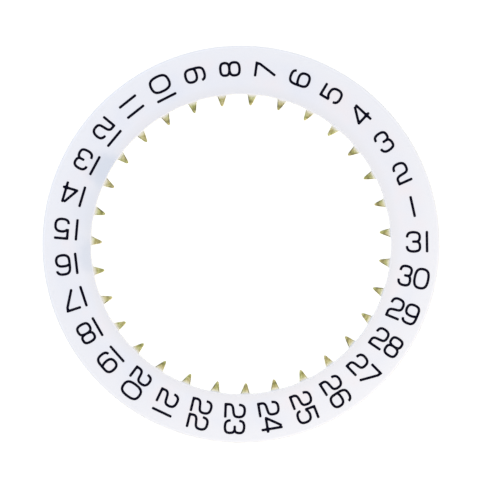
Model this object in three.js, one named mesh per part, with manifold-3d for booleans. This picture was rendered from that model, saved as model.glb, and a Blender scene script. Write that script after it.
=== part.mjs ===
// Date wheel of a mechanical watch: a flat brass ring with 31 pointed teeth on its inner edge,
// a white lacquered face, and the dates 1 to 31 printed round it.
// Sizes are in millimetres. +Z points out of the printed face, the wheel turns about Z and lies on z = 0.
// +X runs through the middle of the 31. The dates follow each other anticlockwise and read outwards.

import * as THREE from 'three';
import { mergeVertices } from 'three/addons/utils/BufferGeometryUtils.js';
import Module from 'manifold-3d';

// Face and edge of the wheel
const outerRadius = 11.5;
const faceInnerRadius = 8.69;
const faceEdgeRadius = 0.12;
const faceInnerBreak = 0.01;
const roundSegments = 124;
const cornerSteps = 3;

// Brass ring: a thick band that carries the teeth and rubs on the plate, and a thin flange outside it
const ringThickness = 0.3;
const bandOuterRadius = 9.4;
const flangeThickness = 0.16;
const ringEdgeBreak = 0.02;

// Teeth, one for each date. Each has its steeper flank on the anticlockwise side.
const dateCount = 31;
const toothThickness = 0.2;
const tipRadius = 8.06;
const tipHalfWidth = 0.085;
const tipShift = 0.03;
const clockwiseHalfRoot = 0.3;
const anticlockwiseHalfRoot = 0.23;
const rootFillet = 0.05;
const toothLayerRadius = 9;
const firstToothAngle = THREE.MathUtils.degToRad(3.85);
const toothCurveSteps = 2;

// White lacquer, sprayed over the face and down both of its edges
const coatThickness = 0.03;
const coatEdgeThickness = 0.018;
const coatSkirtBottom = 0.185;

// Clearance between films that lie on each other
const layerGap = 0.002;

// Printed numerals
const printRadius = 10.158;
const inkThickness = 0.014;
const strokeWidth = 0.15;
const digitHeight = 1.263;
const digitWidth = 0.903;
const narrowDigitWidth = 0.872;
const widthBesideZero = 0.81;
const zeroWidth = { 10: 1.05, 20: 0.955, 30: 0.935 };
const flatEndShare = 0.985;
const bendFullness = 0.69;
const loopFullness = 0.73;
const bendSteps = 5;

// Distance between the middles of the two digits of a date
const digitPitch = 0.96;
const pitchBesideOne = 0.76;
const ownPitch = {
  10: 0.885, 12: 0.865, 14: 0.785, 15: 0.87, 21: 0.88, 22: 0.95, 23: 0.93, 24: 0.917, 31: 0.785,
};

// Shift of some dates outwards from the print's radius, and of the whole print to one side
const shiftedDates = [
  { first: 10, last: 17, shift: 0.025 },
  { first: 20, last: 26, shift: -0.03 },
];
const ownShift = { 23: -0.05, 24: -0.045, 30: 0.012, 31: 0.012 };
const printAside = 0.011;

const datePitch = (2 * Math.PI) / dateCount;
const coatTop = ringThickness + layerGap + coatThickness;
const brassInnerRadius = faceInnerRadius + coatEdgeThickness + layerGap;
const brassOuterRadius = outerRadius - coatEdgeThickness - layerGap;
const edgeCentreRadius = outerRadius - faceEdgeRadius;
const edgeCentreHeight = coatTop - faceEdgeRadius;

const brass = new THREE.MeshStandardMaterial({ color: 0xb3ab72, roughness: 0.4, metalness: 1 });
const lacquer = new THREE.MeshStandardMaterial({ color: 0xeef1f8, roughness: 0.5, metalness: 0 });
const ink = new THREE.MeshStandardMaterial({ color: 0x0a0a12, roughness: 0.55, metalness: 0 });

const wasm = await Module();
wasm.setup();

// Closed geometry, as a solid that can be joined
function toSolid(geometry) {
  geometry.deleteAttribute('normal');
  geometry.deleteAttribute('uv');
  const merged = mergeVertices(geometry);
  const vertProperties = merged.attributes.position.array;
  const triVerts = new Uint32Array(merged.index.array);
  return new wasm.Manifold(new wasm.Mesh({ numProp: 3, vertProperties, triVerts }));
}

function toGeometry(solid) {
  const mesh = solid.getMesh();
  const geometry = new THREE.BufferGeometry();
  geometry.setAttribute('position', new THREE.BufferAttribute(mesh.vertProperties, 3));
  geometry.setIndex(new THREE.BufferAttribute(mesh.triVerts, 1));
  return geometry;
}

// Turns a closed profile of [radius, height] points about Z
function turned(profile) {
  const points = profile.map(([radius, height]) => new THREE.Vector2(radius, height));
  points.push(points[0].clone());
  return new THREE.LatheGeometry(points, roundSegments).rotateX(Math.PI / 2);
}

function extruded(shape, depth, curveSegments = 1) {
  return new THREE.ExtrudeGeometry(shape, { depth, curveSegments, bevelEnabled: false });
}

// Points of the rounded outer edge of the face, from the top down to the side
function roundedEdge(acrossRadius, upRadius) {
  const points = [];
  for (let step = 0; step <= cornerSteps; step += 1) {
    const angle = (Math.PI / 2) * (1 - step / cornerSteps);
    const radius = edgeCentreRadius + acrossRadius * Math.cos(angle);
    const height = edgeCentreHeight + upRadius * Math.sin(angle);
    points.push([radius, height]);
  }
  return points;
}

// Point beside a tooth's centre line: radius from the wheel's axis, and offset anticlockwise
function besideTooth(toothAngle, radius, offset) {
  const angle = toothAngle + offset / radius;
  return new THREE.Vector2(radius * Math.cos(angle), radius * Math.sin(angle));
}

// One root arc and the tooth after it, up to where the next root arc starts
function toothPoints(toothAngle) {
  const place = (radius, offset) => besideTooth(toothAngle, radius, offset);
  const tipEdge = tipRadius + tipHalfWidth;
  const flankShare = rootFillet / (faceInnerRadius - tipEdge);
  const footRadius = faceInnerRadius - rootFillet;
  const clockwiseFoot = THREE.MathUtils.lerp(-clockwiseHalfRoot, tipShift - tipHalfWidth, flankShare);
  const anticlockwiseFoot = THREE.MathUtils.lerp(anticlockwiseHalfRoot, tipShift + tipHalfWidth, flankShare);
  const rootStart = toothAngle - datePitch + (anticlockwiseHalfRoot + rootFillet) / faceInnerRadius;
  const rootEnd = toothAngle - (clockwiseHalfRoot + rootFillet) / faceInnerRadius;

  const path = new THREE.Path();
  const curveTo = (control, end) => path.quadraticCurveTo(control.x, control.y, end.x, end.y);
  const lineTo = (end) => path.lineTo(end.x, end.y);
  path.absarc(0, 0, faceInnerRadius, rootStart, rootEnd, false);
  curveTo(place(faceInnerRadius, -clockwiseHalfRoot), place(footRadius, clockwiseFoot));
  lineTo(place(tipEdge, tipShift - tipHalfWidth));
  curveTo(place(tipRadius, tipShift - tipHalfWidth / 2), place(tipRadius, tipShift));
  curveTo(place(tipRadius, tipShift + tipHalfWidth / 2), place(tipEdge, tipShift + tipHalfWidth));
  lineTo(place(footRadius, anticlockwiseFoot));
  const nextRoot = place(faceInnerRadius, anticlockwiseHalfRoot + rootFillet);
  curveTo(place(faceInnerRadius, anticlockwiseHalfRoot), nextRoot);
  return path.getPoints(toothCurveSteps).slice(0, -1);
}

// Inner edge of the brass, all the way round
function toothedEdge() {
  const points = [];
  for (let date = 0; date < dateCount; date += 1) {
    points.push(...toothPoints(firstToothAngle + date * datePitch));
  }
  return new THREE.Path(points);
}

function toothedRing() {
  const flangeBottom = ringThickness - flangeThickness;
  const body = turned([
    [brassInnerRadius, 0],
    [bandOuterRadius - ringEdgeBreak, 0],
    [bandOuterRadius, ringEdgeBreak],
    [bandOuterRadius, flangeBottom],
    [brassOuterRadius - ringEdgeBreak, flangeBottom],
    [brassOuterRadius, flangeBottom + ringEdgeBreak],
    ...roundedEdge(brassOuterRadius - edgeCentreRadius, ringThickness - edgeCentreHeight).reverse(),
    [brassInnerRadius, ringThickness],
  ]);
  const layer = new THREE.Shape();
  layer.absarc(0, 0, toothLayerRadius, 0, 2 * Math.PI, false);
  layer.holes.push(toothedEdge());
  const teeth = extruded(layer, toothThickness, roundSegments / 2);
  return toGeometry(toSolid(body).add(toSolid(teeth)));
}

function whiteCoat() {
  const innerBottom = toothThickness + layerGap;
  const filmBottom = ringThickness + layerGap;
  const filmInner = brassInnerRadius - layerGap;
  const filmOuter = brassOuterRadius + layerGap;
  return turned([
    [faceInnerRadius, innerBottom],
    [filmInner, innerBottom],
    [filmInner, filmBottom],
    ...roundedEdge(filmOuter - edgeCentreRadius, filmBottom - edgeCentreHeight),
    [filmOuter, coatSkirtBottom],
    [outerRadius, coatSkirtBottom],
    ...roundedEdge(faceEdgeRadius, faceEdgeRadius).reverse(),
    [faceInnerRadius + faceInnerBreak, coatTop],
    [faceInnerRadius, coatTop - faceInnerBreak],
  ]);
}

// Draws the centreline of a stroke
class Pen {
  constructor(halfWidth, halfHeight) {
    this.halfWidth = halfWidth;
    this.halfHeight = halfHeight;
    this.path = new THREE.Path();
    this.closed = false;
    this.fullness = bendFullness;
  }

  at(x, y) {
    return new THREE.Vector2(x * this.halfWidth, y * this.halfHeight);
  }

  start(x, y) {
    const place = this.at(x, y);
    this.path.moveTo(place.x, place.y);
    return this;
  }

  line(x, y) {
    const place = this.at(x, y);
    this.path.lineTo(place.x, place.y);
    return this;
  }

  // Quarter turn that leaves upright and arrives level
  toLevel(x, y) {
    const from = this.path.currentPoint.clone();
    const place = this.at(x, y);
    const leaveY = THREE.MathUtils.lerp(from.y, place.y, this.fullness);
    const arriveX = THREE.MathUtils.lerp(place.x, from.x, this.fullness);
    this.path.bezierCurveTo(from.x, leaveY, arriveX, place.y, place.x, place.y);
    return this;
  }

  // Quarter turn that leaves level and arrives upright
  toUpright(x, y) {
    const from = this.path.currentPoint.clone();
    const place = this.at(x, y);
    const leaveX = THREE.MathUtils.lerp(from.x, place.x, this.fullness);
    const arriveY = THREE.MathUtils.lerp(place.y, from.y, this.fullness);
    this.path.bezierCurveTo(leaveX, from.y, place.x, arriveY, place.x, place.y);
    return this;
  }

  // Free curve with both control points given
  curve(leaveX, leaveY, arriveX, arriveY, x, y) {
    const leave = this.at(leaveX, leaveY);
    const arrive = this.at(arriveX, arriveY);
    const place = this.at(x, y);
    this.path.bezierCurveTo(leave.x, leave.y, arrive.x, arrive.y, place.x, place.y);
    return this;
  }

  // Rounded box of four bends, drawn clockwise so that its left side is the outer one
  loop(width, bottom, top) {
    const middle = (bottom + top) / 2;
    this.fullness = loopFullness;
    this.start(-width, middle).toLevel(0, top).toUpright(width, middle);
    this.toLevel(0, bottom).toUpright(-width, middle);
    this.closed = true;
    return this;
  }

  points() {
    const points = this.path.getPoints(bendSteps);
    if (this.closed) {
      points.pop();
    }
    return points;
  }
}

// Strokes of each digit, with places in shares of the half width and half height of its centreline
const digitStrokes = {
  0: (pen) => [
    pen().loop(1, -1, 1),
  ],
  1: (pen, end) => [
    pen().start(0, end).line(0, -end),
  ],
  2: (pen) => [
    pen().start(-0.96, 0.38).toLevel(-0.05, 1).toUpright(1, 0.4)
      .curve(1, 0.05, 0.85, -0.08, 0.42, -0.14)
      .line(-0.38, -0.22)
      .curve(-0.82, -0.28, -1, -0.42, -1, -0.64)
      .line(-1, -1).line(1.17, -1),
  ],
  3: (pen) => [
    pen().start(-0.96, 0.46).toLevel(-0.05, 1).toUpright(0.98, 0.52)
      .toLevel(0.36, 0.02).line(-0.2, 0.02),
    pen().start(0.2, 0.02).line(0.36, 0.02).toUpright(1, -0.5)
      .curve(1, -0.87, 0.76, -1, 0, -1).toUpright(-1, -0.42),
  ],
  4: (pen, end) => [
    pen().start(-1.17, -0.46).line(1.22, -0.46),
    pen().start(-1.12, -0.5).line(0.41, 1.05),
    pen().start(0.67, end).line(0.67, -end),
  ],
  5: (pen) => [
    pen().start(1.08, 1).line(-0.95, 1).line(-0.95, -0.02),
    pen().start(-0.86, 0.05).curve(-0.68, 0.22, -0.4, 0.3, 0, 0.3)
      .toUpright(1, -0.36).toLevel(0, -1).toUpright(-1, -0.5),
  ],
  6: (pen) => [
    pen().start(1.03, 0.58).curve(0.97, 0.9, 0.62, 1, 0.05, 1)
      .curve(-0.62, 1, -1, 0.9, -1, 0.2).line(-1, -0.38).toLevel(0, -1).toUpright(1, -0.42)
      .toLevel(0, 0.16).curve(-0.45, 0.16, -0.7, 0.12, -0.93, 0.02),
  ],
  7: (pen) => [
    pen().start(-1.15, 0.99).line(0.97, 0.99).line(0.86, 0.62).line(-0.6, -1.1),
  ],
  8: (pen) => [
    pen().loop(0.96, 0.06, 1),
    pen().loop(1, -1, 0.06),
  ],
  9: (pen) => [
    pen().start(-1.03, -0.58).curve(-0.97, -0.9, -0.62, -1, -0.05, -1)
      .curve(0.62, -1, 1, -0.9, 1, -0.2).line(1, 0.38).toLevel(0, 1).toUpright(-1, 0.42)
      .toLevel(0, -0.17).curve(0.45, -0.17, 0.7, -0.12, 0.93, -0.02),
  ],
};

// Step from a centreline's corner to the stroke's left side, long enough to make a mitre
function sideStep(before, corner, after) {
  const arriving = new THREE.Vector2().subVectors(corner, before ?? corner).normalize();
  const leaving = new THREE.Vector2().subVectors(after ?? corner, corner).normalize();
  const along = arriving.add(leaving).normalize();
  const straight = (after ? leaving : new THREE.Vector2().subVectors(corner, before)).normalize();
  const mitre = strokeWidth / 2 / along.dot(straight);
  return new THREE.Vector2(-along.y, along.x).multiplyScalar(mitre);
}

// Outline of a stroke of even width along a centreline
function strokeShape(points, closed) {
  const last = points.length - 1;
  const steps = points.map((corner, i) => {
    const before = points[i - 1] ?? (closed ? points[last] : undefined);
    const after = points[i + 1] ?? (closed ? points[0] : undefined);
    return sideStep(before, corner, after);
  });
  const left = points.map((corner, i) => corner.clone().add(steps[i]));
  const right = points.map((corner, i) => corner.clone().sub(steps[i]));
  if (!closed) {
    return new THREE.Shape([...left, ...right.reverse()]);
  }
  const shape = new THREE.Shape(left);
  shape.holes.push(new THREE.Path(right.reverse()));
  return shape;
}

function inkedDigit(digit, width) {
  const halfWidth = (width - strokeWidth) / 2;
  const halfHeight = (digitHeight - strokeWidth) / 2;
  const end = (flatEndShare * digitHeight) / 2 / halfHeight;
  const strokes = digitStrokes[digit](() => new Pen(halfWidth, halfHeight), end);
  const solids = strokes.map((pen) => {
    const shape = strokeShape(pen.points(), pen.closed);
    return toSolid(extruded(shape, inkThickness));
  });
  return toGeometry(solids.reduce((joined, solid) => joined.add(solid)));
}

// Widths of the digits of a date, and the distance between their middles
function dateLayout(date) {
  const digits = String(date).split('').map(Number);
  const bothBroad = digits.length === 2 && !digits.includes(1);
  const widths = digits.map((digit) => {
    if (digit === 1) {
      return strokeWidth;
    }
    if (digit === 0) {
      return zeroWidth[date];
    }
    if (digit === 4 || !bothBroad) {
      return digitWidth;
    }
    return digits.includes(0) ? widthBesideZero : narrowDigitWidth;
  });
  const pitch = ownPitch[date] ?? (bothBroad ? digitPitch : pitchBesideOne);
  return { digits, widths, pitch };
}

// Radius of the middle of a date
function middleRadius(date) {
  const range = shiftedDates.find(({ first, last }) => date >= first && date <= last);
  return printRadius + (ownShift[date] ?? range?.shift ?? 0);
}

function printedDate(date) {
  const { digits, widths, pitch } = dateLayout(date);
  const name = `numeral_${String(date).padStart(2, '0')}`;
  const suffixes = digits.length === 2 ? ['_tens', '_units'] : [''];
  const reach = (widths[0] + widths.at(-1)) / 2 + pitch * (digits.length - 1);
  const group = new THREE.Group();
  digits.forEach((digit, i) => {
    const patch = new THREE.Mesh(inkedDigit(digit, widths[i]), ink);
    patch.name = name + suffixes[i];
    patch.position.x = middleRadius(date) + (widths[0] - reach) / 2 + pitch * i;
    patch.position.z = coatTop + layerGap;
    group.add(patch);
  });
  group.rotation.z = date * datePitch;
  group.position.x = printAside;
  return group;
}

const wheel = new THREE.Group();

const ring = new THREE.Mesh(toothedRing(), brass);
ring.name = 'toothed_ring';
wheel.add(ring);

const coat = new THREE.Mesh(whiteCoat(), lacquer);
coat.name = 'white_coat';
wheel.add(coat);

for (let date = 1; date <= dateCount; date += 1) {
  wheel.add(printedDate(date));
}

export default wheel;
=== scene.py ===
from functools import partial
import math

import bpy
from mathutils import Matrix, Vector, noise
from mathutils.geometry import tessellate_polygon


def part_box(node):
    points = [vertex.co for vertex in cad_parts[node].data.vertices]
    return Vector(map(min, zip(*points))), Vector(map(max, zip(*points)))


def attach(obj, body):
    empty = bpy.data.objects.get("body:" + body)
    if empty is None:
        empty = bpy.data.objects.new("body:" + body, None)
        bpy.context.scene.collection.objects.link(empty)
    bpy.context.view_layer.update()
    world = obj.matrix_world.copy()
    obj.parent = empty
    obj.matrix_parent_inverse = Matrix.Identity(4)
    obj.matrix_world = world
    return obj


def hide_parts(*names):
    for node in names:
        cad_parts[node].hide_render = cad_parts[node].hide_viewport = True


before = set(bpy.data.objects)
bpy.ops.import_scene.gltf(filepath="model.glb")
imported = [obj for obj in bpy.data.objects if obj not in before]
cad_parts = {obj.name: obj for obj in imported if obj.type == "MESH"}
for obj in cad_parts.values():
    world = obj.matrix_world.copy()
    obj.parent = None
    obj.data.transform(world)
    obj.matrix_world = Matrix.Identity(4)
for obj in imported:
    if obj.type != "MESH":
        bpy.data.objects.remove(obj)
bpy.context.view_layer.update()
mm = 0.001  # the script works in millimetres, Blender in metres

# What the frame gives: radii and heights of the ring, its coat and the print
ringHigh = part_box("toothed_ring")[1] / mm
coatLow, coatHigh = [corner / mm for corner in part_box("white_coat")]
inkLow, inkHigh = [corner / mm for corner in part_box("numeral_01")]
outerRadius = coatHigh.x
dateCount = 31
datePitch = 2 * math.pi / dateCount
rimRound = 0.12    # radius with which the face rolls over the rim, brass and lacquer alike
rimCentre = (outerRadius - rimRound, coatHigh.z - rimRound)
breakMiddle = 0.3  # where the middle point of a broken edge lies, as a share of its size
print("frame loaded:", len(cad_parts), "nodes, wheel", round(2 * outerRadius, 2), "mm across")


def newMesh(name, vertices, faces, attributes=None):
    # One closed piece from points in millimetres, smooth shaded and facing out
    mesh = bpy.data.meshes.new(name)
    mesh.from_pydata([Vector(v) * mm for v in vertices], [], faces)
    for attributeName, values in (attributes or {}).items():
        layer = mesh.attributes.new(attributeName, "FLOAT", "POINT")
        layer.data.foreach_set("value", values)
    mesh.polygons.foreach_set("use_smooth", [True] * len(mesh.polygons))
    mesh.validate()
    piece = bpy.data.objects.new(name, mesh)
    bpy.context.scene.collection.objects.link(piece)
    # keeps flats flat beside small rounds
    evenShading = piece.modifiers.new("evenShading", "WEIGHTED_NORMAL")
    evenShading.weight = 60
    return piece


def blendTo(a, b, share):
    return a + (b - a) * share


def smoothStep(low, high, value):
    share = min(max((value - low) / (high - low), 0), 1)
    return share * share * (3 - 2 * share)


# Toothed inner edge, stamped, with one tooth for each date
toothEdge = {
    "rootRadius": 8.69,
    "tipRadius": 8.06,
    "tipHalfWidth": 0.085,
    "tipShift": 0.03,             # the tip lies a little anticlockwise of the middle
    "clockwiseHalfRoot": 0.3,
    "anticlockwiseHalfRoot": 0.23,
    "rootFillet": 0.05,
    "toothFade": 1.4,             # in root fillets, how soon the root's edge becomes a tooth's
    "firstAngle": math.radians(3.85),
    "rootSteps": 12,
    "filletSteps": 4,
    "flankSteps": 9,
    "tipSteps": 4,
}


def quadraticPoints(start, control, end, steps):
    # Points of a quadratic curve, without its last one
    points = []
    for step in range(steps):
        t = step / steps
        points.append(tuple(
            a * (1 - t) ** 2 + 2 * b * t * (1 - t) + c * t * t for a, b, c in zip(start, control, end)))
    return points


def toothColumns():
    # (angle, radius, how much of a tooth it is) all the way round, through every tooth's outline
    e = toothEdge
    root = e["rootRadius"]
    tipEdge = e["tipRadius"] + e["tipHalfWidth"]
    foot = root - e["rootFillet"]
    flankShare = e["rootFillet"] / (root - tipEdge)
    tipLeft = e["tipShift"] - e["tipHalfWidth"]
    tipRight = e["tipShift"] + e["tipHalfWidth"]
    leftFoot = (foot, blendTo(-e["clockwiseHalfRoot"], tipLeft, flankShare))
    rightFoot = (foot, blendTo(e["anticlockwiseHalfRoot"], tipRight, flankShare))
    leftRoot = (root, -e["clockwiseHalfRoot"] - e["rootFillet"])
    rightRoot = (root, e["anticlockwiseHalfRoot"] + e["rootFillet"])

    outline = []
    outline += quadraticPoints(leftRoot, (root, -e["clockwiseHalfRoot"]), leftFoot, e["filletSteps"])
    for step in range(e["flankSteps"]):
        share = step / e["flankSteps"]
        outline.append((blendTo(foot, tipEdge, share), blendTo(leftFoot[1], tipLeft, share)))
    tip = (e["tipRadius"], e["tipShift"])
    leftControl = (e["tipRadius"], blendTo(tipLeft, e["tipShift"], 0.5))
    rightControl = (e["tipRadius"], blendTo(e["tipShift"], tipRight, 0.5))
    outline += quadraticPoints((tipEdge, tipLeft), leftControl, tip, e["tipSteps"])
    outline += quadraticPoints(tip, rightControl, (tipEdge, tipRight), e["tipSteps"])
    for step in range(e["flankSteps"]):
        share = step / e["flankSteps"]
        outline.append((blendTo(tipEdge, foot, share), blendTo(tipRight, rightFoot[1], share)))
    outline += quadraticPoints(rightFoot, (root, e["anticlockwiseHalfRoot"]), rightRoot, e["filletSteps"])

    gapStart = rightRoot[1] / root
    gapEnd = datePitch + leftRoot[1] / root
    columns = []
    for date in range(dateCount):
        toothAngle = e["firstAngle"] + date * datePitch
        for radius, offset in outline:
            edgeDistance = min(offset - leftRoot[1], rightRoot[1] - offset)
            share = smoothStep(0, e["toothFade"] * e["rootFillet"], edgeDistance)
            columns.append((toothAngle + offset / radius, radius, share))
        for step in range(e["rootSteps"]):
            share = step / e["rootSteps"]
            columns.append((toothAngle + blendTo(gapStart, gapEnd, share), root, 0))
    return columns


columns = toothColumns()
print("toothed edge:", len(columns), "points")


def turnedGrid(name, rows, attributes=None):
    # Rows of points round the wheel, each as long as columns, joined to a closed tube
    around = len(columns)
    vertices = [point for row in rows for point in row]
    faces = []
    for i in range(len(rows)):
        here = i * around
        there = (i + 1) % len(rows) * around
        for k in range(around):
            nextColumn = (k + 1) % around
            faces.append((here + k, there + k, there + nextColumn, here + nextColumn))
    return newMesh(name, vertices, faces, attributes)


def arcPoints(centre, width, height, start, end, steps):
    # Points of a round in a profile, from one direction in degrees to another
    points = []
    for step in range(steps + 1):
        turn = math.radians(blendTo(start, end, step / steps))
        points.append((centre[0] + width * math.cos(turn), centre[1] + height * math.sin(turn)))
    return points


def circleRow(radius, height):
    return [(radius * math.cos(angle), radius * math.sin(angle), height) for angle, _, _ in columns]


# Brass ring
brassRing = {
    "toothTop": 0.2,
    "tipDroop": 0.02,            # the punch rolls the tips down a little
    "rolledEdge": 0.045,         # punch side of a tooth
    "burrEdge": 0.01,            # die side of a tooth
    "rootEdge": 0.006,
    "edgeSteps": 4,
    "edgeShadeFall": 0.4,             # how much less painted shade an edge gets at its two sides
    "topSteps": 6,
    "shoulderBreak": 0.006,
    "faceRadii": (9.4, 10.4),
    "coatFilm": 0.02,            # room for the lacquer over the rims
    "roundSteps": 6,
    "flangeBottom": 0.14,
    "flangeRadii": (10.9, 10.2, 9.7),
    "bandOuterRadius": 9.4,
    "bandRadii": (9.1, 8.8),
    "bandFillet": 0.03,
    "filletSteps": 3,
    "edgeBreak": 0.02,
}


def makeBrassRing():
    r = brassRing
    around = len(columns)
    outline = [Vector((radius * math.cos(angle), radius * math.sin(angle))) for angle, radius, _ in columns]
    inward = []
    for k in range(around):
        along = (outline[(k + 1) % around] - outline[k - 1]).normalized()
        inward.append(Vector((along.y, -along.x)))

    rows = []
    edgeRows = []                # how far each row is a rounded edge of the teeth, for painted shade

    def insetRow(edge, turn, fromTop):
        # One row of a rounded edge: turn 0 lies on the flat and 1 on the wall
        inset = 1 - math.sin(turn * math.pi / 2)
        drop = 1 - math.cos(turn * math.pi / 2)
        row = []
        for k, (_, _, share) in enumerate(columns):
            size = blendTo(r["rootEdge"], edge, share)
            point = outline[k] + inward[k] * size * inset
            height = size * drop
            if fromTop:
                height = toothTopAt(point.length) - height
            row.append((point.x, point.y, height))
        rows.append(row)
        edgeRows.append(1 - abs(2 * turn - 1) * r["edgeShadeFall"])

    def toothTopAt(radius):
        reach = (toothEdge["rootRadius"] - radius) / (toothEdge["rootRadius"] - toothEdge["tipRadius"])
        return r["toothTop"] - r["tipDroop"] * max(reach, 0) ** 2

    # rounded lower edge, wall, and rounded upper edge of the teeth
    for step in range(r["edgeSteps"] + 1):
        insetRow(r["burrEdge"], step / r["edgeSteps"], False)
    for step in range(r["edgeSteps"], -1, -1):
        insetRow(r["rolledEdge"], step / r["edgeSteps"], True)

    # tops of the teeth, out to the shoulder under the lacquer
    shoulder = toothEdge["rootRadius"] + r["coatFilm"]
    lastRow = rows[-1]
    for step in range(1, r["topSteps"] + 1):
        share = step / r["topSteps"]
        row = []
        for k, (angle, _, _) in enumerate(columns):
            start = Vector(lastRow[k][:2])
            point = start.lerp(Vector((shoulder * math.cos(angle), shoulder * math.sin(angle))), share)
            row.append((point.x, point.y, toothTopAt(point.length)))
        rows.append(row)
        edgeRows.append(0)

    # shoulder, face and rounded outer edge under the lacquer, flange, and underside with its band
    top = ringHigh.z
    brassOuter = outerRadius - r["coatFilm"]
    profile = [(shoulder, top - r["shoulderBreak"]), (shoulder + r["shoulderBreak"], top)]
    profile += [(radius, top) for radius in r["faceRadii"]]
    profile += arcPoints(rimCentre, brassOuter - rimCentre[0], top - rimCentre[1], 90, 0, r["roundSteps"])
    low = r["flangeBottom"]
    band = r["bandOuterRadius"]
    edgeBreak = r["edgeBreak"]
    halfBreak = breakMiddle * edgeBreak
    profile += [(brassOuter, low + edgeBreak), (brassOuter - halfBreak, low + halfBreak)]
    profile += [(brassOuter - edgeBreak, low)]
    profile += [(radius, low) for radius in r["flangeRadii"]]
    fillet = r["bandFillet"]
    profile += arcPoints((band + fillet, low - fillet), fillet, fillet, 90, 180, r["filletSteps"])
    profile += [(band, edgeBreak), (band - halfBreak, halfBreak), (band - edgeBreak, 0)]
    profile += [(radius, 0) for radius in r["bandRadii"]]
    rows += [circleRow(radius, height) for radius, height in profile]
    edgeRows += [0] * len(profile)

    # painted shade on the rounded edges of the teeth, most at the middle of each round
    edgeShadeMask = [value * share for value in edgeRows for _, _, share in columns]
    return turnedGrid("stamped_brass_ring", rows, {"rolledEdge": edgeShadeMask})


# White lacquer, sprayed on in a film that runs over the rims
coatFilm = {
    "innerRadius": toothEdge["rootRadius"],
    "innerBottom": 0.2012,
    "toothFoot": 0.05,           # the lacquer gathers where the wall meets a tooth
    "rootFoot": 0.0015,          # and hardly between the teeth
    "footShare": 0.75,           # the gathered foot wavers about this share of its size
    "footWaver": 0.5,
    "footWaves": 40,
    "footSlice": 0.3,            # where the noise is cut
    "footSteps": 5,
    "wallStart": 0.075,          # height over the bottom where the plain wall starts
    "innerRound": 0.035,
    "innerSteps": 4,
    "faceRadii": (8.8, 9.1, 9.6, 10.2, 10.8, 11.2),
    "roundSteps": 8,
    "skirtRound": 0.007,
    "filmInner": 0.018,          # thickness of the film over the rims
    "liningSteps": 4,
    "liningRadius": 10.2,
    "brassTop": ringHigh.z + 0.002,
}


def makeWhiteCoat():
    c = coatFilm
    rows = []
    bottom = c["innerBottom"]
    inner = c["innerRadius"]
    top = coatHigh.z

    # concave foot of the inner wall, large on the teeth and very small between them
    for step in range(c["footSteps"] + 1):
        turn = math.pi / 2 * step / c["footSteps"]
        row = []
        for angle, _, share in columns:
            spot = Vector((math.cos(angle), math.sin(angle), c["footSlice"])) * c["footWaves"]
            waver = c["footShare"] + c["footWaver"] * noise.noise(spot)
            foot = blendTo(c["rootFoot"], c["toothFoot"] * waver, share)
            radius = inner - foot + foot * math.sin(turn)
            height = bottom + foot * (1 - math.cos(turn))
            row.append((radius * math.cos(angle), radius * math.sin(angle), height))
        rows.append(row)

    # inner wall, face, roll over the rim, and skirt
    edge = c["innerRound"]
    profile = [(inner, bottom + c["wallStart"])]
    profile += arcPoints((inner + edge, top - edge), edge, edge, 180, 90, c["innerSteps"])
    profile += [(radius, top) for radius in c["faceRadii"]]
    profile += arcPoints(rimCentre, rimRound, rimRound, 90, 0, c["roundSteps"])
    skirt = coatLow.z
    halfRound = breakMiddle * c["skirtRound"]
    profile += [(outerRadius, skirt + c["skirtRound"]),
                (outerRadius - halfRound, skirt + halfRound),
                (outerRadius - c["skirtRound"], skirt),
                (outerRadius - c["filmInner"], skirt)]

    # inner side of the film, against the brass
    profile += arcPoints(rimCentre, rimRound - c["filmInner"], c["brassTop"] - rimCentre[1], 0, 90,
                         c["liningSteps"])
    profile += [(c["liningRadius"], c["brassTop"]), (inner + c["filmInner"], c["brassTop"])]
    profile += [(inner + c["filmInner"], bottom)]
    rows += [circleRow(radius, height) for radius, height in profile]
    return turnedGrid("sprayed_white_lacquer", rows)


# Printed numerals
datePrint = {
    "radius": 10.158,
    "shiftedDates": [            # runs of dates that the pad laid further out or in
        {"first": 10, "last": 17, "shift": 0.025},
        {"first": 20, "last": 26, "shift": -0.03},
    ],
    "ownShift": {23: -0.05, 24: -0.045, 30: 0.012, 31: 0.012},
    "asideX": 0.011,             # the whole print lies a little to one side
    "strokeWidth": 0.15,
    "digitHeight": 1.263,
    "digitWidth": 0.903,
    "narrowDigitWidth": 0.872,
    "widthBesideZero": 0.81,
    "zeroWidth": {10: 1.05, 20: 0.955, 30: 0.935},
    "flatEndShare": 0.985,
    "bendFullness": 0.69,
    "loopFullness": 0.73,
    "bendSteps": 14,
    "digitPitch": 0.96,
    "pitchBesideOne": 0.76,
    "ownPitch": {
        10: 0.885, 12: 0.865, 14: 0.785, 15: 0.87, 21: 0.88, 22: 0.95, 23: 0.93, 24: 0.917, 31: 0.785,
    },
    "strokeNudge": (0.00013, 0.00007),  # keeps strokes from touching exactly
    "cornerRound": 0.07,         # ink draws corners in
    "cornerReach": 0.48,         # at most this share of a side
    "cornerSteps": 5,
    "sharpTurn": math.radians(30),
    "inkedNotch": {4: 0.08},     # and closes the notch where two strokes of the 4 meet
    "notchTurn": math.radians(20),
    "mitreLimit": 0.5,           # smallest cosine of half a turn, where the rim follows a corner
    "tightReach": 1.3,           # in widths of the rim, the room that a corner needs
    "waver": 0.0018,             # unevenness of the pad's edge
    "waverLength": 0.12,
    "waverSeeds": (3.7, 1.9),    # steps through the noise, for each date and for each digit
    "rim": [(0, 0), (0, 0.35), (0.0025, 0.66), (0.008, 0.9), (0.016, 1)],  # inset in mm, share of height
}


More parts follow.
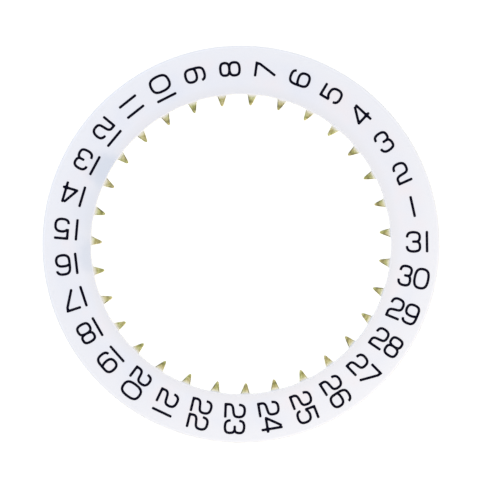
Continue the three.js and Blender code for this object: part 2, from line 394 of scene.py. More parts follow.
class Pen:
    # Draws the centreline of a stroke in shares of a digit's half width and half height
    def __init__(self, halfWidth, halfHeight):
        self.size = (halfWidth, halfHeight)
        self.points = []
        self.closed = False
        self.full = datePrint["bendFullness"]

    def start(self, x, y):
        self.points.append(Vector((x * self.size[0], y * self.size[1])))
        return self

    def line(self, x, y):
        return self.start(x, y)

    def bezier(self, leave, arrive, end):
        begin = self.points[-1]
        for step in range(1, datePrint["bendSteps"] + 1):
            t = step / datePrint["bendSteps"]
            s = 1 - t
            self.points.append(
                begin * s ** 3 + leave * 3 * s * s * t + arrive * 3 * s * t * t + end * t ** 3)
        return self

    def toLevel(self, x, y):
        begin = self.points[-1]
        end = Vector((x * self.size[0], y * self.size[1]))
        return self.bezier(Vector((begin.x, blendTo(begin.y, end.y, self.full))),
                           Vector((blendTo(end.x, begin.x, self.full), end.y)), end)

    def toUpright(self, x, y):
        begin = self.points[-1]
        end = Vector((x * self.size[0], y * self.size[1]))
        return self.bezier(Vector((blendTo(begin.x, end.x, self.full), begin.y)),
                           Vector((end.x, blendTo(end.y, begin.y, self.full))), end)

    def curve(self, leaveX, leaveY, arriveX, arriveY, x, y):
        w, h = self.size
        leave = Vector((leaveX * w, leaveY * h))
        arrive = Vector((arriveX * w, arriveY * h))
        return self.bezier(leave, arrive, Vector((x * w, y * h)))

    def loop(self, width, bottom, top):
        middle = (bottom + top) / 2
        self.full = datePrint["loopFullness"]
        self.start(-width, middle).toLevel(0, top).toUpright(width, middle)
        self.toLevel(0, bottom).toUpright(-width, middle)
        self.points.pop()
        self.closed = True
        return self


digitStrokes = {
    0: lambda pen, end: [pen().loop(1, -1, 1)],
    1: lambda pen, end: [pen().start(0, end).line(0, -end)],
    2: lambda pen, end: [
        pen().start(-0.96, 0.38).toLevel(-0.05, 1).toUpright(1, 0.4)
        .curve(1, 0.05, 0.85, -0.08, 0.42, -0.14).line(-0.38, -0.22)
        .curve(-0.82, -0.28, -1, -0.42, -1, -0.64).line(-1, -1).line(1.17, -1)],
    3: lambda pen, end: [
        pen().start(-0.96, 0.46).toLevel(-0.05, 1).toUpright(0.98, 0.52)
        .toLevel(0.36, 0.02).line(-0.2, 0.02),
        pen().start(0.2, 0.02).line(0.36, 0.02).toUpright(1, -0.5).curve(1, -0.87, 0.76, -1, 0, -1)
        .toUpright(-1, -0.42)],
    4: lambda pen, end: [
        pen().start(-1.17, -0.46).line(1.22, -0.46),
        pen().start(-1.12, -0.5).line(0.41, 1.05),
        pen().start(0.67, end).line(0.67, -end)],
    5: lambda pen, end: [
        pen().start(1.08, 1).line(-0.95, 1).line(-0.95, -0.02),
        pen().start(-0.86, 0.05).curve(-0.68, 0.22, -0.4, 0.3, 0, 0.3)
        .toUpright(1, -0.36).toLevel(0, -1).toUpright(-1, -0.5)],
    6: lambda pen, end: [
        pen().start(1.03, 0.58).curve(0.97, 0.9, 0.62, 1, 0.05, 1)
        .curve(-0.62, 1, -1, 0.9, -1, 0.2).line(-1, -0.38).toLevel(0, -1).toUpright(1, -0.42)
        .toLevel(0, 0.16).curve(-0.45, 0.16, -0.7, 0.12, -0.93, 0.02)],
    7: lambda pen, end: [pen().start(-1.15, 0.99).line(0.97, 0.99).line(0.86, 0.62).line(-0.6, -1.1)],
    8: lambda pen, end: [pen().loop(0.96, 0.06, 1), pen().loop(1, -1, 0.06)],
    9: lambda pen, end: [
        pen().start(-1.03, -0.58).curve(-0.97, -0.9, -0.62, -1, -0.05, -1)
        .curve(0.62, -1, 1, -0.9, 1, -0.2).line(1, 0.38).toLevel(0, 1).toUpright(-1, 0.42)
        .toLevel(0, -0.17).curve(0.45, -0.17, 0.7, -0.12, 0.93, -0.02)],
}


def signedArea(loop):
    return sum(a.x * b.y - b.x * a.y for a, b in zip(loop, loop[1:] + loop[:1])) / 2


def strokeOutlines(pen):
    # Closed outlines of a stroke of even width, with the ink on their left
    half = datePrint["strokeWidth"] / 2
    points = pen.points
    count = len(points)
    left = []
    right = []
    for i, point in enumerate(points):
        before = points[i - 1] if i > 0 or pen.closed else None
        after = points[(i + 1) % count] if i < count - 1 or pen.closed else None
        arriving = (point - before).normalized() if before is not None else None
        leaving = (after - point).normalized() if after is not None else None
        along = ((arriving or leaving) + (leaving or arriving)).normalized()
        step = Vector((-along.y, along.x)) * (half / along.dot(leaving or arriving))
        left.append(point + step)
        right.append(point - step)
    if pen.closed:  # drawn clockwise, so the left side is the outer one
        return [left[::-1], right]
    return [right + left[::-1]]


# How closely outlines are joined
joining = {
    "parallel": 1e-12,           # cross product under which two lines count as parallel
    "shortestPiece": 1e-7,
    "sideStep": 2e-5,            # how far beside a line it is asked what lies there
    "shortestEdge": 0.004,
    "smallestField": 0.0005,     # square millimetres
}


def windingAt(place, loops):
    # How many times the loops run anticlockwise round a place
    turns = 0
    for loop in loops:
        for a, b in zip(loop, loop[1:] + loop[:1]):
            if (a.y > place.y) != (b.y > place.y):
                crossing = (b.x - a.x) * (place.y - a.y) / (b.y - a.y) + a.x
                if crossing > place.x:
                    turns += 1 if b.y > a.y else -1
    return turns


def crossingOf(a, b, c, d):
    # Where the line from a to b crosses the one from c to d, as shares of both, or None
    if max(a.x, b.x) < min(c.x, d.x) or max(c.x, d.x) < min(a.x, b.x):
        return None
    if max(a.y, b.y) < min(c.y, d.y) or max(c.y, d.y) < min(a.y, b.y):
        return None
    spread = (b - a).cross(d - c)
    if abs(spread) < joining["parallel"]:
        return None
    first = (c - a).cross(d - c) / spread
    second = (c - a).cross(b - a) / spread
    return (first, second) if 0 <= first < 1 and 0 <= second < 1 else None


def joinedOutline(loops):
    # Outline of everything that is inside the loops: outer loops anticlockwise, holes clockwise
    nodes = []
    edges = []
    for loop in loops:
        first = len(nodes)
        nodes += loop
        edges += [(first + i, first + (i + 1) % len(loop)) for i in range(len(loop))]
    cuts = [[] for _ in edges]
    for i, (a, b) in enumerate(edges):
        for j in range(i + 1, len(edges)):
            c, d = edges[j]
            if a in (c, d) or b in (c, d):
                continue
            crossing = crossingOf(nodes[a], nodes[b], nodes[c], nodes[d])
            if crossing:
                nodes.append(nodes[a].lerp(nodes[b], crossing[0]))
                cuts[i].append((crossing[0], len(nodes) - 1))
                cuts[j].append((crossing[1], len(nodes) - 1))

    follow = {}
    for (a, b), crossings in zip(edges, cuts):
        stops = [a] + [node for _, node in sorted(crossings)] + [b]
        for start, end in zip(stops, stops[1:]):
            along = nodes[end] - nodes[start]
            if along.length < joining["shortestPiece"]:
                continue
            aside = Vector((-along.y, along.x)).normalized() * joining["sideStep"]
            middle = (nodes[start] + nodes[end]) / 2
            if windingAt(middle + aside, loops) > 0 and windingAt(middle - aside, loops) <= 0:
                follow.setdefault(start, []).append(end)

    def headingOf(start, end):
        along = nodes[end] - nodes[start]
        return math.atan2(along.y, along.x)

    joined = []
    while follow:
        first = next(iter(follow))
        loop = [first]
        previous, current = first, follow[first].pop(0)
        while current != first:
            loop.append(current)
            back = headingOf(current, previous)
            ways = follow[current]
            ways.sort(key=lambda way: (back - headingOf(current, way)) % (2 * math.pi))
            previous, current = current, ways.pop(0)
        follow = {start: ends for start, ends in follow.items() if ends}
        tidy = []
        for point in [nodes[i] for i in loop]:
            if not tidy or (point - tidy[-1]).length > joining["shortestEdge"]:
                tidy.append(point)
        if (tidy[0] - tidy[-1]).length < joining["shortestEdge"]:
            tidy.pop()
        if len(tidy) > 2 and abs(signedArea(tidy)) > joining["smallestField"]:
            joined.append(tidy)
    return joined


def withInkedNotches(loop, widest):
    # Ink closes a sharp notch between two strokes that is narrower than this
    loop = list(loop)
    i = 0
    while i < len(loop):
        arriving = loop[i] - loop[i - 1]
        leaving = loop[(i + 1) % len(loop)] - loop[i]
        turn = math.atan2(arriving.cross(leaving), arriving.dot(leaving))
        if turn < -datePrint["notchTurn"] and max(arriving.length, leaving.length) < widest:
            del loop[i]
            i = max(i - 2, 0)
        else:
            i += 1
    return loop


def withRoundedCorners(loop, radius):
    # Every sharp corner becomes a short curve
    rounded = []
    for i, point in enumerate(loop):
        arriving = point - loop[i - 1]
        leaving = loop[(i + 1) % len(loop)] - point
        if abs(math.atan2(arriving.cross(leaving), arriving.dot(leaving))) < datePrint["sharpTurn"]:
            rounded.append(point)
            continue
        start = point - arriving.normalized() * min(radius, datePrint["cornerReach"] * arriving.length)
        end = point + leaving.normalized() * min(radius, datePrint["cornerReach"] * leaving.length)
        for step in range(datePrint["cornerSteps"] + 1):
            share = step / datePrint["cornerSteps"]
            rounded.append(start.lerp(point, share).lerp(point.lerp(end, share), share))
    return rounded


def insetLoop(loop, distance):
    # The loop moved towards the ink, which lies on its left
    moved = []
    for i, point in enumerate(loop):
        arriving = (point - loop[i - 1]).normalized()
        leaving = (loop[(i + 1) % len(loop)] - point).normalized()
        along = (arriving + leaving).normalized()
        step = Vector((-along.y, along.x))
        moved.append(point + step * distance / max(along.dot(leaving), datePrint["mitreLimit"]))
    return moved


def withoutTightSpots(loop, distance):
    # Merges points where an edge is too short for the rim to follow it
    loop = list(loop)
    i = 0
    while i < len(loop):
        moved = insetLoop(loop, distance)
        j = (i + 1) % len(loop)
        if (moved[j] - moved[i]).dot(loop[j] - loop[i]) <= 0:
            loop[i] = (loop[i] + loop[j]) / 2
            del loop[j]
            i = max(i - 2, 0)
        else:
            i += 1
    return loop


inkedOutlines = {}


def outlineOfDigit(digit, width):
    # Outlines of a digit about its middle, drawn once for each width
    if (digit, width) not in inkedOutlines:
        halfWidth = (width - datePrint["strokeWidth"]) / 2
        halfHeight = (datePrint["digitHeight"] - datePrint["strokeWidth"]) / 2
        end = datePrint["flatEndShare"] * datePrint["digitHeight"] / 2 / halfHeight
        outlines = []
        for i, pen in enumerate(digitStrokes[digit](lambda: Pen(halfWidth, halfHeight), end)):
            nudge = Vector(datePrint["strokeNudge"]) * i
            outlines += [[point + nudge for point in outline] for outline in strokeOutlines(pen)]
        loops = joinedOutline(outlines)
        loops = [withInkedNotches(loop, datePrint["inkedNotch"].get(digit, 0)) for loop in loops]
        loops = [withRoundedCorners(loop, datePrint["cornerRound"]) for loop in loops]
        reach = datePrint["tightReach"] * datePrint["rim"][-1][0]
        inkedOutlines[(digit, width)] = [withoutTightSpots(loop, reach) for loop in loops]
    return inkedOutlines[(digit, width)]


def makeInkPatch(name, digit, width, date, middleRadius):
    # One digit: outline, rounded rim, and flat top and bottom
    dateSeed, digitSeed = datePrint["waverSeeds"]
    seed = Vector((date * dateSeed, digit * digitSeed, 0))
    loops = []
    for loop in outlineOfDigit(digit, width):
        wavering = []
        for point in loop:
            shift = noise.noise(Vector((point.x, point.y, 0)) / datePrint["waverLength"] + seed)
            wavering.append(point + Vector((1, 1)) * (shift * datePrint["waver"]))
        loops.append(wavering)

    thickness = inkHigh.z - inkLow.z
    turn = Matrix.Rotation(date * datePitch, 2)
    middle = Vector((middleRadius, 0))
    vertices = []
    faces = []
    starts = []
    for inset, share in datePrint["rim"]:
        starts.append(len(vertices))
        for loop in loops:
            for point in insetLoop(loop, inset):
                place = turn @ (point + middle)
                vertices.append((place.x + datePrint["asideX"], place.y, inkLow.z + thickness * share))
    offset = 0
    for loop in loops:
        for i in range(len(loop)):
            a, b = offset + i, offset + (i + 1) % len(loop)
            for low, high in zip(starts, starts[1:]):
                faces.append((low + a, low + b, high + b, high + a))
        offset += len(loop)

    top = [[Vector((p.x, p.y, 0)) for p in insetLoop(loop, datePrint["rim"][-1][0])] for loop in loops]
    flatTop = [point for loop in top for point in loop]
    for a, b, c in tessellate_polygon(top):
        if (flatTop[b] - flatTop[a]).cross(flatTop[c] - flatTop[a]).z < 0:
            b, c = c, b
        faces.append((starts[-1] + a, starts[-1] + b, starts[-1] + c))
        faces.append((c, b, a))
    return newMesh(name, vertices, faces)


def digitWidths(date, digits):
    # Widths of a date's digits, and the distance between their middles
    bothBroad = len(digits) == 2 and 1 not in digits
    widths = []
    for digit in digits:
        if digit == 1:
            widths.append(datePrint["strokeWidth"])
        elif digit == 0:
            widths.append(datePrint["zeroWidth"][date])
        elif digit == 4 or not bothBroad:
            widths.append(datePrint["digitWidth"])
        else:
            widths.append(datePrint["widthBesideZero" if 0 in digits else "narrowDigitWidth"])
    pitch = datePrint["ownPitch"].get(date, datePrint["digitPitch" if bothBroad else "pitchBesideOne"])
    return widths, pitch


def radiusOfDate(date):
    # Where the middle of a date lies: on the circle of the print or, for some, a little off it
    shift = sum(run["shift"] for run in datePrint["shiftedDates"] if run["first"] <= date <= run["last"])
    return datePrint["radius"] + datePrint["ownShift"].get(date, shift)


def printDates(material):
    made = 0
    for date in range(1, dateCount + 1):
        digits = [int(letter) for letter in str(date)]
        widths, pitch = digitWidths(date, digits)
        middle = radiusOfDate(date)
        reach = (widths[0] + widths[-1]) / 2 + pitch * (len(digits) - 1)
        for i, digit in enumerate(digits):
            node = f"numeral_{date:02d}" + (("_tens", "_units")[i] if len(digits) == 2 else "")
            place = middle + (widths[0] - reach) / 2 + pitch * i
            patch = makeInkPatch("printed_" + node, digit, widths[i], date, place)
            patch.data.materials.append(material)
            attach(patch, "root")
            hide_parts(node)
            made += 1
    print("numerals printed:", made, "patches of ink")


def linear(hexColour):
    # sRGB hex to the linear colour that the nodes want
    channels = [int(hexColour[i:i + 2], 16) / 255 for i in (1, 3, 5)]
    return tuple(c / 12.92 if c <= 0.04045 else ((c + 0.055) / 1.055) ** 2.4 for c in channels) + (1,)


def socketOf(sockets, wanted):
    # The socket in use that has a name, or where several share it, a number
    if isinstance(wanted, int):
        return sockets[wanted]
    return next(socket for socket in sockets if socket.enabled and socket.name == wanted)


def addNode(tree, kind, values=None, links=None, output=None, **settings):
    # A shader node with its plain values, links and settings. It gives back the output that is asked for, or
    # else the first in use.
    node = tree.nodes.new("ShaderNode" + kind)
    for name, value in settings.items():
        setattr(node, name, value)
    for socket, value in (values or {}).items():
        socketOf(node.inputs, socket).default_value = value
    for socket, source in (links or {}).items():
        tree.links.new(source, socketOf(node.inputs, socket))
    if output:
        return socketOf(node.outputs, output)
    return next((socket for socket in node.outputs if socket.enabled), None)


def emptyMaterial(name):
    # A material without nodes, and what adds nodes to it
    material = bpy.data.materials.new(name)
    material.use_nodes = True
    material.node_tree.nodes.clear()
    return material, partial(addNode, material.node_tree)


def wheelPlace(add):
    # Where a point of the wheel lies: in space, in the wheel's plane, and how far from the axis
    place = add("TexCoord", output="Object")
    inPlane = add("VectorMath", {1: (1, 1, 0)}, {0: place}, operation="MULTIPLY")
    radius = add("VectorMath", {}, {0: inPlane}, operation="LENGTH")
    return place, inPlane, radius


def stampedBrass():
    # Brass, stamped from sheet and faced on a lathe, then left bare. It has dulled to olive in small
    # patches, some rosy and some greenish, and shows faint turning rings. Painted shade darkens it behind
    # the tips, not on them, and here and there on the rolled edges, and it carries a mist of lacquer by
    # the face. The underside slides on the movement's plate, so it stays cleaner.
    look = {
        "fresh": "#DBD79F", "dulled": "#A39F5F", "rosy": "#C6B284", "greenish": "#A8AE64", "tintShare": 0.35,
        "turned": "#D2C88E", "turnedDull": "#AEA266", "turnedShare": 0.85,  # underside
        # painted shade: the dark colour behind the tips and the edge colour on the rolled edges
        "dark": "#7E7A48", "edge": "#5E5A34", "mist": "#F9F6E8",
        # sizes in millimetres; the bands underneath are turning marks, drawn coarser than real ones to show
        "patchSize": 0.17, "tintSize": 0.35, "varietySize": 0.5, "driftSize": 0.09, "grainSize": 0.035,
        "ringSpacing": 0.05, "bandSpacing": 0.22, "reliefDepth": 0.003,
        # radii in millimetres: painted shade behind the tips, its fading out on the tips, and the mist
        "darkStart": 8.46, "darkFull": 8.28, "shadeFadeStart": 8.26, "shadeFadeFull": 8.14,
        "mistStart": 8.43, "mistFull": 8.745, "mistWaver": 0.05,
        "ringShare": 0.55,           # of the relief, the rest of which is grain
        "roughness": (0.36, 0.5),
    }
    material, add = emptyMaterial("stampedBrass")
    place, _, radius = wheelPlace(add)
    normal = add("NewGeometry", output="Normal")
    upward = add("SeparateXYZ", {}, {0: normal}, output="Z")

    patches = add("TexNoise", {"Scale": 1 / (look["patchSize"] * mm), "Detail": 2, "Roughness": 0.6},
                  {"Vector": place})
    patchShare = add("MapRange", {"From Min": 0.38, "From Max": 0.62}, {"Value": patches})
    plain = add("Mix", {"A": linear(look["fresh"]), "B": linear(look["dulled"])}, {"Factor": patchShare},
                data_type="RGBA")
    tints = add("TexNoise", {"Scale": 1 / (look["tintSize"] * mm), "Detail": 1}, {"Vector": place})
    tintSide = add("MapRange", {"From Min": 0.45, "From Max": 0.55}, {"Value": tints})
    tint = add("Mix", {"A": linear(look["rosy"]), "B": linear(look["greenish"])}, {"Factor": tintSide},
               data_type="RGBA")
    weathered = add("Mix", {"Factor": look["tintShare"]}, {"A": plain, "B": tint}, data_type="RGBA")

    # clean turned bands on what faces down
    bands = add("TexNoise", {"Scale": 1 / (look["bandSpacing"] * mm), "Detail": 3}, {"W": radius},
                noise_dimensions="1D")
    bandShare = add("MapRange", {"From Min": 0.35, "From Max": 0.65}, {"Value": bands})
    turned = add("Mix", {"A": linear(look["turned"]), "B": linear(look["turnedDull"])},
                 {"Factor": bandShare}, data_type="RGBA")
    beneath = add("MapRange", {"From Min": -0.5, "From Max": -0.9, "To Max": look["turnedShare"]},
                  {"Value": upward})
    body = add("Mix", {}, {"Factor": beneath, "A": weathered, "B": turned}, data_type="RGBA")

    # painted shade behind the tips and on the rolled edges, much more on some teeth than on others
    reached = add("MapRange", {"From Min": look["darkStart"] * mm, "From Max": look["darkFull"] * mm},
                  {"Value": radius}, interpolation_type="SMOOTHSTEP")
    shadeBeforeTips = add("MapRange", {"From Min": look["shadeFadeStart"] * mm, "From Max": look["shadeFadeFull"] * mm,
                              "To Min": 1, "To Max": 0.1},
                 {"Value": radius}, interpolation_type="SMOOTHSTEP")
    variety = add("TexNoise", {"Scale": 1 / (look["varietySize"] * mm), "Detail": 1}, {"Vector": place})
    darkLevel = add("MapRange", {"From Min": 0.36, "From Max": 0.6, "To Min": 0.15, "To Max": 0.75},
                    {"Value": variety})
    darkReach = add("Math", {}, {0: reached, 1: darkLevel}, operation="MULTIPLY")
    darkShare = add("Math", {}, {0: darkReach, 1: shadeBeforeTips}, operation="MULTIPLY")
    darkened = add("Mix", {"B": linear(look["dark"])}, {"Factor": darkShare, "A": body}, data_type="RGBA")
    rolled = add("Attribute", attribute_name="rolledEdge", output="Fac")
    edgeLevel = add("MapRange", {"From Min": 0.45, "From Max": 0.58, "To Max": 0.95}, {"Value": variety})
    edgeReach = add("Math", {}, {0: edgeLevel, 1: shadeBeforeTips}, operation="MULTIPLY")
    edgeShare = add("Math", {}, {0: rolled, 1: edgeReach}, operation="MULTIPLY")
    metal = add("Mix", {"B": linear(look["edge"])}, {"Factor": edgeShare, "A": darkened}, data_type="RGBA")

    # mist of lacquer on what faces up or in beside the face, left out where the edges carry painted shade
    drift = add("TexNoise", {"Scale": 1 / (look["driftSize"] * mm), "Detail": 4}, {"Vector": place})
    shift = add("MapRange", {"To Min": -look["mistWaver"] * mm, "To Max": look["mistWaver"] * mm},
                {"Value": drift})
    drifted = add("Math", {}, {0: radius, 1: shift}, operation="ADD")
    nearFace = add("MapRange", {"From Min": look["mistStart"] * mm, "From Max": look["mistFull"] * mm},
                   {"Value": drifted}, interpolation_type="SMOOTHSTEP")
    facing = add("MapRange", {"From Min": -0.5, "From Max": -0.1}, {"Value": upward})
    settled = add("Math", {}, {0: nearFace, 1: facing}, operation="MULTIPLY")
    outsideEdgeShade = add("Math", {0: 1}, {1: edgeShare}, operation="SUBTRACT")
    mist = add("Math", {}, {0: settled, 1: outsideEdgeShade}, operation="MULTIPLY")
    colour = add("Mix", {"B": linear(look["mist"])}, {"Factor": mist, "A": metal}, data_type="RGBA")
    metallic = add("MapRange", {"To Min": 1, "To Max": 0}, {"Value": mist})

    grain = add("TexNoise", {"Scale": 1 / (look["grainSize"] * mm), "Detail": 2}, {"Vector": place})
    rings = add("TexNoise", {"Scale": 1 / (look["ringSpacing"] * mm), "Detail": 2}, {"W": radius},
                noise_dimensions="1D")
    relief = add("Mix", {"Factor": look["ringShare"]}, {"A": grain, "B": rings}, data_type="FLOAT")
    bump = add("Bump", {"Strength": 0.5, "Distance": look["reliefDepth"] * mm}, {"Height": relief})
    smoothest, roughest = look["roughness"]
    rough = add("MapRange", {"To Min": smoothest, "To Max": roughest}, {"Value": patches})
    shader = add("BsdfPrincipled", {},
                 {"Base Color": colour, "Metallic": metallic, "Roughness": rough, "Normal": bump})
    add("OutputMaterial", {}, {"Surface": shader})
    return material


def sprayedLacquer():
    # White cellulose lacquer, sprayed: an even, cool white with faint bluish and pinkish clouds and a
    # slightly uneven skin that spreads highlights softly. It grows paler outwards. Over the roll on the rim
    # it is painted lighter against the shading of the slope, and at the very rim painted grey as shade. By
    # the inner edge it is a shade greyer, and in three places there painted shade makes it slate blue.
    look = {
        # the last colour is painted slate-blue shade for three places by the inner edge
        "white": "#F0F1F6", "cool": "#EBEEF6", "warm": "#F4F0F3", "thin": "#DAE0EA",
        # bands: colour, radius where it starts and radius where it is full
        "inner": ("#EDEDF0", 9.4, 8.75),
        "outer": ("#F2F3F7", 10.3, 11.2),
        "innerEdge": ("#F8F8FA", 8.75, 8.7),
        # painted light: the roll is lighter, against the shading of its slope
        "roll": ("#FAFBFE", 11.33, 11.44),
        # painted shade: the outermost rim is greyer, against its bright grazing reflection
        "rim": ("#DCDFE7", 11.465, 11.5),
        # three places of painted slate-blue shade by the inner edge
        # degrees from the date 31, radius of the middle, reach, strength
        "thinPlaces": [(150, 8.8, 1.5, 0.85), (183, 8.75, 1.3, 0.6), (166, 8.4, 2.4, 0.3)],
        "thinCore": 0.3,             # share of the reach that is fully shaded
        "thinWaver": 0.4, "thinCloudSize": 0.8, "cloudSize": 2.4, "peelSize": 0.16, "peelDepth": 0.004,
        "roughness": (0.37, 0.5),
    }
    material, add = emptyMaterial("sprayedLacquer")
    place, inPlane, radius = wheelPlace(add)
    clouds = add("TexNoise", {"Scale": 1 / (look["cloudSize"] * mm), "Detail": 3}, {"Vector": place})
    coolShare = add("MapRange", {"From Min": 0.5, "From Max": 0.68}, {"Value": clouds})
    warmShare = add("MapRange", {"From Min": 0.48, "From Max": 0.34}, {"Value": clouds})
    cooled = add("Mix", {"A": linear(look["white"]), "B": linear(look["cool"])}, {"Factor": coolShare},
                 data_type="RGBA")
    clouded = add("Mix", {"B": linear(look["warm"])}, {"Factor": warmShare, "A": cooled}, data_type="RGBA")

    def banded(band, below):
        # The colour below, turning into that of a band
        tone, start, full = look[band]
        share = add("MapRange", {"From Min": start * mm, "From Max": full * mm}, {"Value": radius},
                    interpolation_type="SMOOTHSTEP")
        return add("Mix", {"B": linear(tone)}, {"Factor": share, "A": below}, data_type="RGBA")

    colour = banded("outer", banded("inner", clouded))

    # painted slate-blue shade by the inner edge, with an uneven border
    border = add("TexNoise", {"Scale": 1 / (look["thinCloudSize"] * mm), "Detail": 2}, {"Vector": place})
    wander = add("MapRange", {"To Min": -look["thinWaver"] * mm, "To Max": look["thinWaver"] * mm},
                 {"Value": border})
    for degrees, middleRadius, reach, strength in look["thinPlaces"]:
        turn = math.radians(degrees)
        middle = Vector((math.cos(turn), math.sin(turn), 0)) * middleRadius * mm
        distance = add("VectorMath", {1: middle}, {0: inPlane}, operation="DISTANCE")
        wandering = add("Math", {}, {0: distance, 1: wander}, operation="ADD")
        core = look["thinCore"] * reach
        thinShare = add("MapRange", {"From Min": reach * mm, "From Max": core * mm, "To Max": strength},
                        {"Value": wandering}, interpolation_type="SMOOTHSTEP")
        colour = add("Mix", {"B": linear(look["thin"])}, {"Factor": thinShare, "A": colour},
                     data_type="RGBA")
    for band in ("innerEdge", "roll", "rim"):
        colour = banded(band, colour)

    peel = add("TexNoise", {"Scale": 1 / (look["peelSize"] * mm), "Detail": 2}, {"Vector": place})
    bump = add("Bump", {"Strength": 0.35, "Distance": look["peelDepth"] * mm}, {"Height": peel})
    smoothest, roughest = look["roughness"]
    rough = add("MapRange", {"To Min": smoothest, "To Max": roughest}, {"Value": peel})
    shader = add("BsdfPrincipled", {"Metallic": 0, "IOR": 1.47},
                 {"Base Color": colour, "Roughness": rough, "Normal": bump})
    add("OutputMaterial", {}, {"Surface": shader})
    return material


def padPrintedInk():
    # Black pad-printing ink: almost matt, a shade bluish, laid on a little unevenly by the silicone pad. Its
    # specular level is low, because the matting agent keeps the print black against a bright sky.
    look = {
        "ink": "#020216", "thin": "#07071C",
        "cloudSize": 0.3, "grainSize": 0.03, "grainDepth": 0.0015,
        "roughness": (0.42, 0.6), "specular": 0.05,
    }
    material, add = emptyMaterial("padPrintedInk")
    place = add("TexCoord", output="Object")
    clouds = add("TexNoise", {"Scale": 1 / (look["cloudSize"] * mm), "Detail": 3}, {"Vector": place})
    thinShare = add("MapRange", {"From Min": 0.45, "From Max": 0.75}, {"Value": clouds})
    colour = add("Mix", {"A": linear(look["ink"]), "B": linear(look["thin"])}, {"Factor": thinShare},
                 data_type="RGBA")
    grain = add("TexNoise", {"Scale": 1 / (look["grainSize"] * mm), "Detail": 2}, {"Vector": place})
    bump = add("Bump", {"Strength": 0.4, "Distance": look["grainDepth"] * mm}, {"Height": grain})
    smoothest, roughest = look["roughness"]
    rough = add("MapRange", {"To Min": smoothest, "To Max": roughest}, {"Value": clouds})
    shader = add("BsdfPrincipled", {"Metallic": 0, "IOR": 1.5, "Specular IOR Level": look["specular"]},
                 {"Base Color": colour, "Roughness": rough, "Normal": bump})
    add("OutputMaterial", {}, {"Surface": shader})
    return material


# Studio: pale floor, even sky, two soft lamps
studio = {
    "floorRadius": 600,
    "floorCorners": 96,
    "floorDrop": 0.001,          # below the wheel's underside
    "floorColour": "#EFEFEF",
    "floorGlow": 0.52,
    "skyTint": "#F8FAFE",
    "skyLight": 0.75,
    "skyAbove": 0.86,            # as the metal mirrors it
    "skyAside": 0.52,
    "lamps": [
        {"name": "keyLamp", "place": (34, -42, 66), "size": 44, "power": 0.0195, "tint": "#FFEED6"},
        {"name": "fillLamp", "place": (-50, 44, 80), "size": 60, "power": 0.018, "tint": "#D0E0FF"},
    ],
}


def makeFloor():
    count = studio["floorCorners"]
    reach = studio["floorRadius"]
    height = -studio["floorDrop"]
    vertices = [(0, 0, height)]
    for k in range(count):
        angle = 2 * math.pi * k / count
        vertices.append((reach * math.cos(angle), reach * math.sin(angle), height))
    faces = [(0, 1 + k, 1 + (k + 1) % count) for k in range(count)]
    mesh = bpy.data.meshes.new("floor")
    mesh.from_pydata([Vector(v) * mm for v in vertices], [], faces)
    floor = bpy.data.objects.new("floor", mesh)
    bpy.context.scene.collection.objects.link(floor)

    # matt white card that glows a little where it is looked at, so that it reads as white but keeps shadows
    material, add = emptyMaterial("whiteCard")
    card = add("BsdfDiffuse", {"Color": linear(studio["floorColour"])})
    rays = add("LightPath").node.outputs
    looking = add("Math", {}, {0: rays["Is Camera Ray"], 1: rays["Is Glossy Ray"]}, operation="ADD")
    seen = add("Math", {}, {0: looking, 1: rays["Is Transmission Ray"]}, operation="ADD", use_clamp=True)
    glowLevel = add("Math", {1: studio["floorGlow"]}, {0: seen}, operation="MULTIPLY")
    glow = add("Emission", {}, {"Strength": glowLevel})
    lit = add("AddShader", {}, {0: card, 1: glow})
    # from below the card is clear, so that the underside of the wheel can be looked at
    clear = add("BsdfTransparent")
    back = add("NewGeometry", output="Backfacing")
    oneSided = add("MixShader", {}, {0: back, 1: lit, 2: clear})
    add("OutputMaterial", {}, {"Surface": oneSided})
    mesh.materials.append(material)


def makeSky():
    # White where it is looked at, an even soft light to the lacquer, and darker at the sides to the metal
    world = bpy.data.worlds.new("softStudio")
    bpy.context.scene.world = world
    world.use_nodes = True
    world.node_tree.nodes.clear()
    add = partial(addNode, world.node_tree)
    rays = add("LightPath").node.outputs
    direction = add("TexCoord", output="Generated")
    height = add("SeparateXYZ", {}, {0: direction}, output="Z")
    mirrored = add("MapRange", {"From Min": 0, "From Max": 0.9, "To Min": studio["skyAside"],
                                "To Max": studio["skyAbove"]}, {"Value": height})
    lighting = add("Mix", {"A": studio["skyLight"]}, {"Factor": rays["Is Glossy Ray"], "B": mirrored},
                   data_type="FLOAT")
    seen = add("Math", {}, {0: rays["Is Camera Ray"], 1: rays["Is Transmission Ray"]}, operation="ADD",
               use_clamp=True)
    level = add("Mix", {"B": 1}, {"Factor": seen, "A": lighting}, data_type="FLOAT")
    tint = add("Mix", {"A": linear(studio["skyTint"]), "B": (1, 1, 1, 1)}, {"Factor": seen},
               data_type="RGBA")
    sky = add("Background", {}, {"Color": tint, "Strength": level})
    add("OutputWorld", {}, {"Surface": sky})


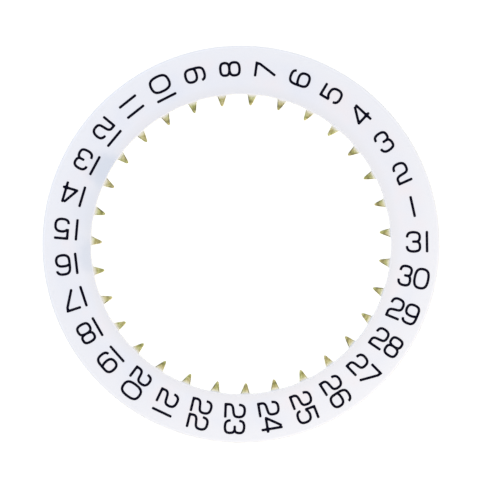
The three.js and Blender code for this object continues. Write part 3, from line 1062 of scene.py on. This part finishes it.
def makeLamp(name, place, size, power, tint):
    lamp = bpy.data.lights.new(name, "AREA")
    lamp.shape = "DISK"
    lamp.size = size * mm
    lamp.energy = power
    lamp.color = linear(tint)[:3]
    holder = bpy.data.objects.new(name, lamp)
    holder.location = Vector(place) * mm
    holder.rotation_euler = (-Vector(place)).to_track_quat("-Z", "Y").to_euler()
    bpy.context.scene.collection.objects.link(holder)


# Camera straight above, as in the photograph, with the wheel a little below the middle and turned a little
viewpoint = {
    "lens": 200,
    "sensor": 36,
    "pictureWidth": 480,         # pixels
    "millimetresPerPixel": 0.05788,
    "wheelMiddle": (240.55, 243.75),
    "wheelTurn": math.radians(0.8),
}


def makeCamera():
    v = viewpoint
    pictureSize = v["pictureWidth"] * v["millimetresPerPixel"]
    distance = pictureSize * v["lens"] / v["sensor"]
    pictureMiddle = (v["pictureWidth"] - 1) / 2
    aside = (pictureMiddle - v["wheelMiddle"][0]) * v["millimetresPerPixel"]
    above = (v["wheelMiddle"][1] - pictureMiddle) * v["millimetresPerPixel"]
    offset = Matrix.Rotation(-v["wheelTurn"], 2) @ Vector((aside, above))
    camera = bpy.data.objects.new("camera", bpy.data.cameras.new("camera"))
    camera.data.lens = v["lens"]
    camera.data.sensor_width = v["sensor"]
    camera.data.clip_start = 1 * mm
    camera.data.clip_end = 2000 * mm
    camera.location = Vector((offset.x, offset.y, coatHigh.z + distance)) * mm
    camera.rotation_euler = (0, 0, -v["wheelTurn"])
    bpy.context.scene.collection.objects.link(camera)
    bpy.context.scene.camera = camera


makeCamera()

ringPiece = makeBrassRing()
ringPiece.data.materials.append(stampedBrass())
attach(ringPiece, "root")
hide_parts("toothed_ring")
print("brass ring made:", len(ringPiece.data.polygons), "faces")

coatPiece = makeWhiteCoat()
coatPiece.data.materials.append(sprayedLacquer())
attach(coatPiece, "root")
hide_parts("white_coat")
print("lacquer sprayed:", len(coatPiece.data.polygons), "faces")

printDates(padPrintedInk())

makeFloor()
makeSky()
for lamp in studio["lamps"]:
    makeLamp(**lamp)
bpy.context.scene.view_settings.view_transform = "Standard"
print("studio ready")
